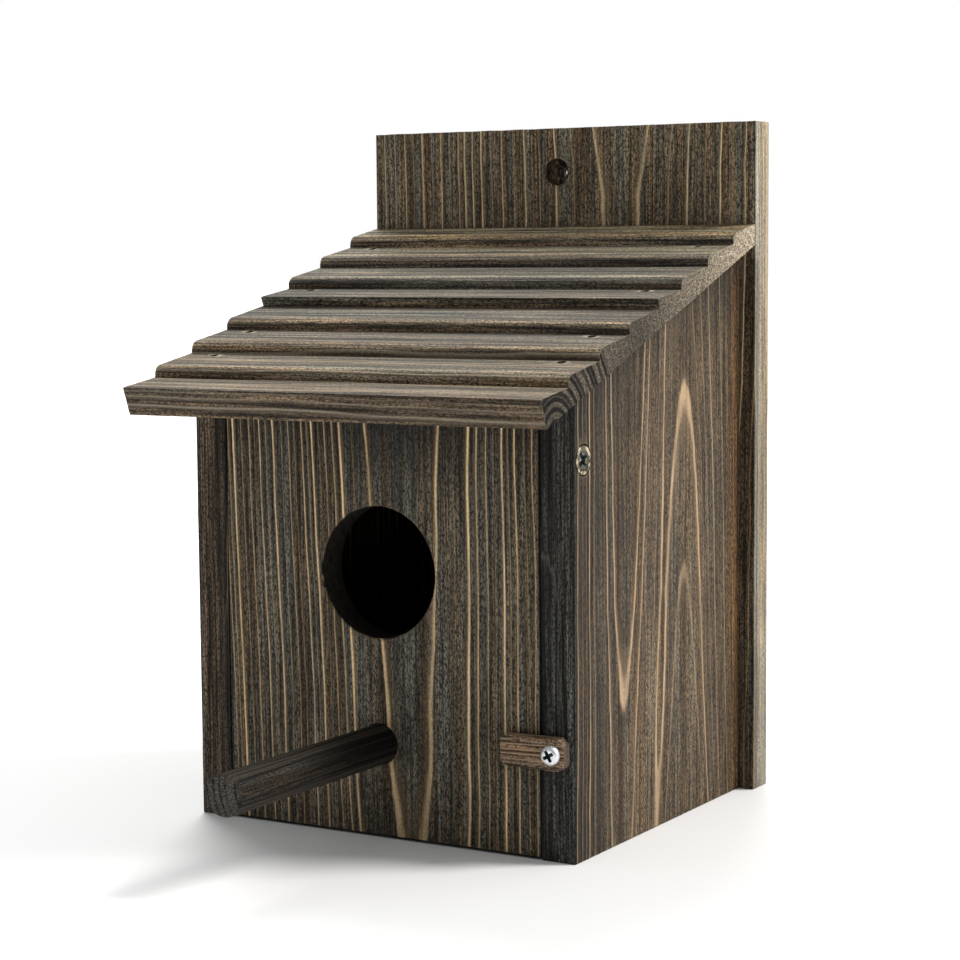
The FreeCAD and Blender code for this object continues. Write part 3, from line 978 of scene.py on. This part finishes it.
def side_panel(side, growth, edge, stain):
    """Side panel, cut to the roof along its top, with a groove for the floor."""
    name = "right" if side > 0 else "left"
    low, high = box_mm(name + "_side")
    outer = high[0] if side > 0 else low[0]
    lay = Lay((outer, low[1], low[2]), (0, 1, 0), (-side, 0, 0), (0, 0, 1))
    thickness, depth, height = high - low
    rise = depth * math.tan(ROOF_PITCH)
    front_height = height - rise
    lines = [grid_lines(depth, FINE), grid_lines(thickness, THROUGH), grid_lines(front_height, COARSE)]

    def to_roof(points):
        """Stretch the panel upwards to the slope of the roof."""
        shaped = points.copy()
        shaped[:, 2] += points[:, 2] / front_height * points[:, 0] / depth * rise
        return shaped

    piece = board(name + "_side_board", lay, lines, growth, to_roof)
    floor_low, floor_high = box_mm("floor_board")
    near, far = sorted((side * CLEAR_OF_SIDES, side * floor_high[0]))
    groove = box_cutter((near, floor_low[1], floor_low[2]), (far, high[1] + 1, floor_high[2]))
    screw = middle_mm(name + "_pivot_screw")
    head = (outer, screw[1], screw[2])
    cut(piece, [groove, countersink(PIVOT_SCREW, head, (side, 0, 0), 30)])
    bores = [(head, (side, 0, 0), PIVOT_SCREW[0] + 0.5)]
    dress(piece, lay, growth, (SIDE_FACE, edge, DARK_END, SHADED_HOLE_WALL), stain, side_warmth, bores)
    finish_piece(piece, "house", name + "_side")


def front_panel(growth):
    """Front panel with the entrance and the perch's hole."""
    low, high = box_mm("front_panel")
    lay = Lay(low, (1, 0, 0), (0, 1, 0), (0, 0, 1))
    piece = straight_board("front_panel", lay, (FINE, THROUGH, COARSE), growth)
    dowel_radius = box_mm("perch")[1][0]
    cutters = []
    bores = []
    for height, radius, flare, lining in (
            (ENTRANCE_HEIGHT, ENTRANCE / 2, 0.5, 0.2),
            (middle_mm("perch")[2], dowel_radius + 0.03, 0.25, 0.07)):
        place = (0, low[1], height)
        cutters.append(through_hole(radius, place, (0, 1, 0), high[1] - low[1], flare))
        bores.append((place, (0, 1, 0), radius + lining))
    cut(piece, cutters)
    dress(piece, lay, growth, (FRONT_FACE, FRONT_EDGE, DARK_END, SHADED_HOLE_WALL), front_painted_shade, bores=bores)
    finish_piece(piece, "front", "front_panel")


def back_board(growth):
    """Back board with the recessed hanging hole and its own screws' countersinks."""
    low, high = box_mm("back_board")
    lay = Lay(low, (1, 0, 0), (0, 1, 0), (0, 0, 1))
    piece = straight_board("back_board", lay, (FINE, THROUGH, COARSE), growth)
    place = (0, low[1], high[2] - HANGING_DROP)
    bore, recess = hanging_cutters(place, high[1] - low[1])
    cutters = [recess]
    for screw_low, screw_high in islands("back_screws"):
        middle = (screw_low + screw_high) / 2
        cutters.append(countersink(BACK_SCREW, (middle[0], high[1], middle[2]), (0, 1, 0), 20))
    cut(piece, [bore])
    cut(piece, cutters)
    bores = [(place, (0, 1, 0), HANGING_RECESS / 2 + 0.2)]
    dress(piece, lay, growth, (BACK_FACE, BACK_EDGE, BACK_END, RAW_WALL), back_shade_and_tone, bores=bores)
    finish_piece(piece, "house", "back_board")


def floor_board(growth):
    """Floor board with four drain holes."""
    low, high = box_mm("floor_board")
    lay = Lay((low[0], low[1], high[2]), (0, 1, 0), (0, 0, -1), (1, 0, 0))
    piece = straight_board("floor_board", lay, (0.7, 1.2, 6.0), growth)
    reach = high[0] - FLOOR_TONGUE - DRAIN_INSET
    cutters = []
    for x in (-reach, reach):
        for y in (low[1] + DRAIN_INSET, high[1] - DRAIN_INSET):
            cutters.append(through_hole(DRAIN_RADIUS, (x, y, low[2]), (0, 0, 1), high[2] - low[2]))
    cut(piece, cutters)
    dress(piece, lay, growth, (SIDE_FACE, SIDE_EDGE, DARK_END, SHADED_HOLE_WALL))
    finish_piece(piece, "house", "floor_board")


# ---- Roof ----

def nose_arc(nose):
    """Rounded nose between a riser and the tread behind it: (along the slope, height) points."""
    corner = Vector((nose, ROOF_THICKNESS))
    fall = STEP_DROP / (STEP_PITCH - STEP_LEAN)
    riser = Vector((-STEP_LEAN, -STEP_DROP)).normalized()
    tread = Vector((1.0, -fall)).normalized()
    half = riser.angle(tread) / 2
    middle = corner + (riser + tread).normalized() * (NOSE_RADIUS / math.sin(half))
    first = corner + riser * (NOSE_RADIUS / math.tan(half)) - middle
    turn = first.angle(corner + tread * (NOSE_RADIUS / math.tan(half)) - middle)
    arc = [middle + Matrix.Rotation(-turn * k / 9, 2) @ first for k in range(10)]
    return [(point.x, point.y) for point in arc]


def moulding(start):
    """Top outline of a plank: sharp lip, then falling treads and rounded noses."""
    outline = [(start, ROOF_THICKNESS)]
    for k in range(STEPS_PER_PLANK):
        nose = start + FIRST_STEP + k * STEP_PITCH
        outline.append((nose - STEP_LEAN, ROOF_THICKNESS - STEP_DROP))
        outline += nose_arc(nose)
    last = start + FIRST_STEP + STEPS_PER_PLANK * STEP_PITCH
    outline.append((last, ROOF_THICKNESS - STEP_DROP))
    return np.array([point for point in outline if point[0] <= last])


def profile_lines(outline, start, end):
    """Mesh lines up the slope: all corners of the moulding, and an even fill between them."""
    places = list(grid_lines(end - start, 0.42) + start) + list(outline[:, 0])
    riser_feet = [u for u, v in outline if v < ROOF_THICKNESS - STEP_DROP + 0.001]
    for foot in riser_feet:
        places += [foot + shift for shift in (-0.25, -0.08, 0.12, 0.25, 0.4, 0.55)]
    places = np.unique(np.round([u for u in places if start <= u <= end], 4))
    keep = np.concatenate([[True], np.diff(places) > 0.03])
    return places[keep] - start


def brad_head(low, high):
    """Middle of a brad's head, from the box round the whole brad."""
    radius = (high[0] - low[0]) / 2
    top = high[2] - radius * abs(UP_SLOPE[2])
    front = low[1] + radius * abs(UP_SLOPE[1])
    return np.array(((low[0] + high[0]) / 2, front, top))


def plank(node, start, end, growth):
    """Roof plank with its stepped moulding; the upper one ends upright against the back board."""
    low, high = box_mm(node)
    length = end - start
    lip = np.array((low[0], LIP[0], LIP[1]))
    lay = Lay(lip + OFF_ROOF * ROOF_THICKNESS + UP_SLOPE * start, UP_SLOPE, -OFF_ROOF, (1, 0, 0))
    outline = moulding(start)
    lines = [profile_lines(outline, start, end), grid_lines(ROOF_THICKNESS, 0.7),
             grid_lines(high[0] - low[0], 3.5)]
    upright = math.tan(ROOF_PITCH) if node == "roof_upper_plank" else 0.0

    def mould(points):
        """Bring the top down to the moulding, and lean the upper end."""
        shaped = points.copy()
        share = 1.0 - points[:, 1] / ROOF_THICKNESS
        top = np.interp(points[:, 0] + start, outline[:, 0], outline[:, 1])
        shaped[:, 0] += ramp(points[:, 0], length - 12.0, length) * share * top * upright
        top = np.interp(shaped[:, 0] + start, outline[:, 0], outline[:, 1])
        shaped[:, 1] = ROOF_THICKNESS - share * top
        return shaped

    piece = board(node + "_board", lay, lines, growth, mould, carve=0.16, soften=0.3)
    well = [(0, -0.9), (1.32, -0.9), (1.32, 0.35), (1.6, 1.2), (1.6, 6), (0, 6)]
    heads = [brad_head(*brad_box) for brad_box in islands("roof_brads")]
    own_heads = [head for head in heads if start < (head - lip) @ UP_SLOPE < end]
    cut(piece, [lathe("cutter", well, head, OFF_ROOF, 28) for head in own_heads])
    dress(piece, lay, growth, (TREAD, RISER, ROOF_END, SHADED_HOLE_WALL),
          partial(roof_highlights_and_shade, start), partial(roof_warmth, start))
    finish_piece(piece, "house", node)


# ---- Perch and turn button ----

def dowel_outline(radius, length):
    """(Radius, height) points of a dowel whose sawn tip is a little chamfered."""
    near_tip = length - np.array([1.0, 0.7, 0.5, 0.3, 0.12, 0.0])
    outline = [(0.0, 0.0)]
    for height in np.unique(np.concatenate([np.linspace(0, length - 1.2, 60), near_tip])):
        past = max(0.0, height - (length - 0.6))
        outline.append((radius - 0.02 - past * 0.9, height))
    for share in (0.93, 0.8, 0.65, 0.5, 0.35, 0.2, 0.08):
        outline.append((share * (radius - 0.6), length - 0.02))
    return outline + [(0.0, length - 0.02)]


def worn_dowel(local, radius, length):
    """Turned a little unevenly: long facets, fine grooves, and a rough tip."""
    shaped = local.copy()
    reach = np.linalg.norm(local[:, :2], axis=1)
    angle = np.arctan2(local[:, 1], local[:, 0])
    swell = (1 + ripple(local * (0.3, 0.3, 1), 14.0, 5)) / 2
    facet = 0.07 * np.abs(np.sin(3.5 * angle + 0.8)) + 0.05 * swell
    round_about = np.stack([np.cos(angle) * 9, np.sin(angle) * 9, local[:, 2] * 0.02], 1)
    groove = 0.035 * (1 + ripple(round_about, 1.6, 8))
    inward = np.clip(facet + groove, 0.0, 0.3) * np.clip(reach / radius, 0, 1)
    shaped[:, :2] *= (1 - inward / np.maximum(reach, 0.5))[:, None]
    tip = local[:, 2] > length - 0.05
    shaped[tip, 2] -= 0.12 * (1 + ripple(shaped[tip], 1.1, 11)) / 2 + 0.02
    return shaped


def perch(growth):
    """Dowel that stands out of the front panel."""
    low, high = box_mm("perch")
    radius = (high[0] - low[0]) / 2
    length = high[1] - low[1]
    place = np.array((0.0, high[1], (low[2] + high[2]) / 2))
    lay = Lay(place, (1, 0, 0), (0, 0, 1), (0, -1, 0))
    piece = lathe("perch_dowel", dowel_outline(radius, length), place, (0, -1, 0), 160)
    mesh = piece.data
    local = worn_dowel(lay.to_local(places_mm(mesh)), radius, length)
    move_vertices(mesh, lay.to_frame(local))
    # Painted shadow: the half of the perch next to the front panel is darkened as if the house shades it;
    # the tip is paler.
    stain = np.interp(local[:, 2], [0, 42, 58, length], [0.3, 0.4, 0.95, 1.1])
    wear = 0.4 * ramp(local[:, 2], length - 0.9, length - 0.5)
    store_wood(mesh, local, growth, stain, wear, neutral(local))
    sawn = np.abs(read(mesh.polygons, "normal")[:, 1]) > 0.8
    set_materials(mesh, (DOWEL, DOWEL_END), sawn.astype(int))
    finish_piece(piece, "front", "perch")


def turn_button(growth):
    """Turn button: a bar with clipped corners, bored for its screw."""
    low, high = box_mm("turn_button")
    length, thickness, width = high - low
    lay = Lay(low, (0, 0, 1), (0, 1, 0), (1, 0, 0))
    soften = 0.35
    lines = [grid_lines(width, 0.16, soften), grid_lines(thickness, 0.3, soften),
             grid_lines(length, 0.5, soften)]
    half = width / 2

    def clip(points):
        """Narrow the bar towards its ends."""
        shaped = points.copy()
        from_end = np.minimum(points[:, 2], length - points[:, 2])
        here = half - BUTTON_CLIP[1] * np.clip(1 - from_end / BUTTON_CLIP[0], 0, 1)
        shaped[:, 0] = half + (points[:, 0] - half) * here / half
        return shaped

    piece = board("turn_button_bar", lay, lines, growth, clip, carve=0.16, soften=soften)
    screw = middle_mm("turn_button_screw")
    bore_radius = BUTTON_SCREW[1] + 0.1
    cut(piece, [through_hole(bore_radius, (screw[0], low[1], screw[2]), (0, 1, 0), thickness, 0.15)])
    dress(piece, lay, growth, (BUTTON_FACE, BUTTON_FACE, BUTTON_END, SHADED_HOLE_WALL))
    finish_piece(piece, "button", "turn_button")


# ---- Screws and brads ----

def cross_cutter(head, top):
    """Cutters for a cross recess: two wings that narrow downwards."""
    wings = []
    levels = ((top + 0.3, 0.35 * head, 0.1 * head), (top - 0.26 * head, 0.12 * head, 0.045 * head))
    faces = [(0, 1, 2, 3), (7, 6, 5, 4), (0, 4, 5, 1), (1, 5, 6, 2), (2, 6, 7, 3), (3, 7, 4, 0)]
    for turn in (0.0, math.pi / 2):
        corners = []
        for height, reach, half in levels:
            for x, y in ((-reach, -half), (reach, -half), (reach, half), (-reach, half)):
                place = Matrix.Rotation(turn, 2) @ Vector((x, y))
                corners.append((place.x, place.y, height))
        wings.append(new_object("cutter", corners, faces))
    return wings


def shank_outline(shank, top, length):
    """Threaded part of a screw, down to its point."""
    heights = np.arange(top - 0.6, shank * 1.6 - length, -0.22)
    outline = [(shank - 0.02, height) for height in heights]
    return outline + [(shank * 0.72, shank * 1.1 - length), (shank * 0.36, shank * 0.5 - length),
                      (0.0, -length)]


def thread(mesh, shank, start):
    """Cut a helical thread into the shank by moving its vertices inwards."""
    places = places_mm(mesh)
    reach = np.hypot(places[:, 0], places[:, 1])
    turn = np.arctan2(places[:, 1], places[:, 0]) / (2 * math.pi)
    phase = np.mod(places[:, 2] / (shank * 0.85) - turn, 1.0)
    ridge = np.clip(1.0 - np.abs(phase - 0.5) * 4.0, 0.0, 1.0)
    on_shank = (places[:, 2] < start) & (reach > 0.05) & (reach < shank + 0.01)
    places[:, :2] *= np.where(on_shank, 0.7 + 0.3 * ridge, 1.0)[:, None]
    move_vertices(mesh, places)


def mark_recess(mesh, head, top):
    """Give the faces inside the head's recess the second material, the dark one with painted shade."""
    for face in mesh.polygons:
        middle = face.center / MM
        near = math.hypot(middle.x, middle.y) < 0.75 * head and middle.z > top - head
        if near and (face.normal.z < 0.75 or middle.z < top - 0.5):
            face.material_index = 1


def mark_painted_glints(mesh, head):
    """Where the painted glints go: the head's rim, and round its recess."""
    places = places_mm(mesh)
    reach = np.hypot(places[:, 0], places[:, 1]) / head
    rim = (reach > 0.76) & (places[:, 2] > -0.1)
    middle = (reach < 0.45) & (places[:, 2] > -0.24)
    store(mesh, "painted_glint", 1.0 * (rim | middle))


def screw_master(outline, head, shank, top, cross_top, thread_start, segments):
    """Screw with a cross recess and a thread, standing upright at the origin."""
    screw = lathe("screw", outline, (0, 0, 0), (0, 0, 1), segments)
    for wing in cross_cutter(2 * head, cross_top):
        cut(screw, [wing])
    mark_recess(screw.data, head, top)
    thread(screw.data, shank, thread_start)
    return screw


def flat_screw(head, shank, length):
    """Countersunk screw with its head at the origin, looking up."""
    neck = shank - head - 0.35
    outline = [(0.0, -0.2), (head * 0.5, -0.2), (head * 0.72, -0.22), (head * 0.8, -0.05),
               (head - 0.35, 0.0), (head - 0.12, -0.03), (head, -0.16), (head, -0.35), (shank, neck)]
    outline += shank_outline(shank, neck, length)
    screw = screw_master(outline, head, shank, -0.2, 0.0, shank - head - 3.0, 56)
    mark_painted_glints(screw.data, head)
    return screw


def pan_screw(head, shank, length, height):
    """Pan-headed screw whose head stands on the origin."""
    rim = height * 0.55
    outline = [(0.0, height), (head * 0.5, height - 0.02)]
    for k in range(9):
        angle = math.pi / 2 * k / 8
        outline.append((head - rim + rim * math.sin(angle), height - rim + rim * math.cos(angle) - 0.02))
    outline += [(head, 0.12), (head - 0.12, 0.0), (shank, 0.0)]
    outline += shank_outline(shank, 0.0, length)
    return screw_master(outline, head, shank, height, height, -3.0, 72)


def brad():
    """Small flat-headed brad with its head at the origin."""
    outline = [(0.0, -0.02), (0.9, 0.0), (1.15, -0.05), (1.28, -0.2), (1.28, -0.6), (1.18, -0.78),
               (0.8, -0.82), (0.78, -20.2), (0.4, -21.3), (0.0, -22.0)]
    return lathe("brad", outline, (0, 0, 0), (0, 0, 1), 28)


def set_out(name, master, places, metal, body, node):
    """Copies of a master screw at (point, way it looks, turn) places, as one piece."""
    copies = []
    for point, way, turn in places:
        mesh = master.data.copy()
        spin = Matrix.Rotation(turn, 4, "Z")
        aim = Vector((0, 0, 1)).rotation_difference(Vector(way)).to_matrix().to_4x4()
        mesh.transform(Matrix.Translation(Vector(point) * MM) @ aim @ spin)
        copies.append(mesh)
    made = merged(name, copies)
    for mesh in copies:
        bpy.data.meshes.remove(mesh)
    made.data.materials.append(metal)
    made.data.materials.append(RECESS_SHADE)
    smooth(made.data, 30)
    finish_piece(made, body, node)


def all_screws():
    """Replace the CAD screws and brads."""
    pan = pan_screw(*BUTTON_SCREW, BUTTON_HEAD_HEIGHT)
    middle = middle_mm("turn_button_screw")
    seat = box_mm("turn_button_screw")[0][1] + BUTTON_HEAD_HEIGHT
    set_out("button_screw", pan, [((middle[0], seat, middle[2]), (0, -1, 0), 0.5)], ZINC,
            "house", "turn_button_screw")
    pivot = flat_screw(*PIVOT_SCREW)
    for side, node in ((1, "right_pivot_screw"), (-1, "left_pivot_screw")):
        low, high = box_mm(node)
        outer = high[0] if side > 0 else low[0]
        middle = (low + high) / 2
        set_out(node + "_steel", pivot, [((outer, middle[1], middle[2]), (side, 0, 0), 0.6)], BRONZED,
                "front", node)
    back = flat_screw(*BACK_SCREW)
    places = []
    for k, (low, high) in enumerate(islands("back_screws")):
        middle = (low + high) / 2
        places.append(((middle[0], high[1], middle[2]), (0, 1, 0), 0.7 * k))
    set_out("back_screws_steel", back, places, BRONZED, "house", "back_screws")
    nail = brad()
    places = [(brad_head(low, high), OFF_ROOF, 0.0) for low, high in islands("roof_brads")]
    set_out("roof_brads_steel", nail, places, BRAD, "house", "roof_brads")
    for master in (pan, pivot, back, nail):
        bpy.data.objects.remove(master)


# ---- Stage ----

def set_camera():
    """Camera in front and to the right."""
    camera = placed("camera", bpy.data.cameras.new("camera"))
    bpy.context.scene.camera = camera
    camera.data.lens = CAMERA_LENS
    camera.data.sensor_width = SENSOR
    camera.data.clip_start = 0.01
    camera.data.clip_end = 60.0
    turn = Matrix.Rotation(CAMERA_TURN, 4, "Z")
    dip = Matrix.Rotation(math.pi / 2 - CAMERA_DIP, 4, "X")
    roll = Matrix.Rotation(-CAMERA_ROLL, 4, "Z")
    camera.matrix_world = Matrix.Translation(Vector(CAMERA_PLACE) * MM) @ turn @ dip @ roll


def add_sun(name, direction, strength, spread, colour):
    """Distant soft light that shines from a direction."""
    lamp = bpy.data.lights.new(name, "SUN")
    lamp.energy = strength
    lamp.angle = math.radians(spread)
    lamp.color = colour
    placed(name, lamp).rotation_euler = Vector(direction).to_track_quat("Z", "Y").to_euler()


def set_light():
    """White surroundings, brighter above and behind, and two soft lamps behind the house."""
    world = bpy.data.worlds.new("studio")
    bpy.context.scene.world = world
    world.use_nodes = True
    tree = world.node_tree
    tree.nodes.clear()
    way = add(tree, "TexCoord").outputs["Generated"]
    behind = vector_calc(tree, "DOT_PRODUCT", way, (0.0, 0.45, 0.89))["Value"]
    strength = remap(tree, behind, -0.1, 1.0, 0.15, 0.95)
    seen = add(tree, "Background", Color=(1.0, 1.0, 1.0), Strength=1.0)
    cast = add(tree, "Background", Color=(0.98, 0.995, 1.0), Strength=strength)
    choice = add(tree, "MixShader", Fac=add(tree, "LightPath").outputs["Is Camera Ray"])
    tree.links.new(cast.outputs[0], choice.inputs[1])
    tree.links.new(seen.outputs[0], choice.inputs[2])
    add(tree, "OutputWorld", Surface=choice.outputs[0])
    add_sun("key", KEY_DIRECTION, 3.1, 18, (1.0, 0.97, 0.93))
    add_sun("rear", REAR_DIRECTION, 2.2, 30, (1.0, 0.99, 0.96))


def set_floor():
    """Wide white floor."""
    reach = 12000.0
    corners = [(-reach, -reach, 0), (reach, -reach, 0), (reach, reach, 0), (-reach, reach, 0)]
    floor = new_object("stage_floor", corners, [(0, 1, 2, 3)])
    material, tree, shader = new_material("white floor")
    fill(tree, shader, Base_Color=(0.83, 0.835, 0.84), Roughness=0.6, Specular_IOR_Level=0.2)
    floor.data.materials.append(material)


# ---- Making ----

def make():
    """All pieces."""
    set_camera()
    set_light()
    set_floor()
    front_panel(FRONT_GROWTH)
    side_panel(1, RIGHT_GROWTH, SIDE_EDGE, right_tone_and_shade)
    side_panel(-1, LEFT_GROWTH, LEFT_EDGE, left_tone_and_shade)
    back_board(BACK_GROWTH)
    floor_board(FLOOR_GROWTH)
    joint = FIRST_STEP + STEPS_PER_PLANK * STEP_PITCH
    run = (box_mm("back_board")[0][1] - LIP[0]) / math.cos(ROOF_PITCH)
    plank("roof_lower_plank", 0.0, joint, LOWER_GROWTH)
    plank("roof_upper_plank", joint, run, UPPER_GROWTH)
    perch(DOWEL_GROWTH)
    turn_button(BUTTON_GROWTH)
    all_screws()


scene = bpy.context.scene
scene.view_settings.view_transform = "Standard"
make()
bpy.context.view_layer.update()
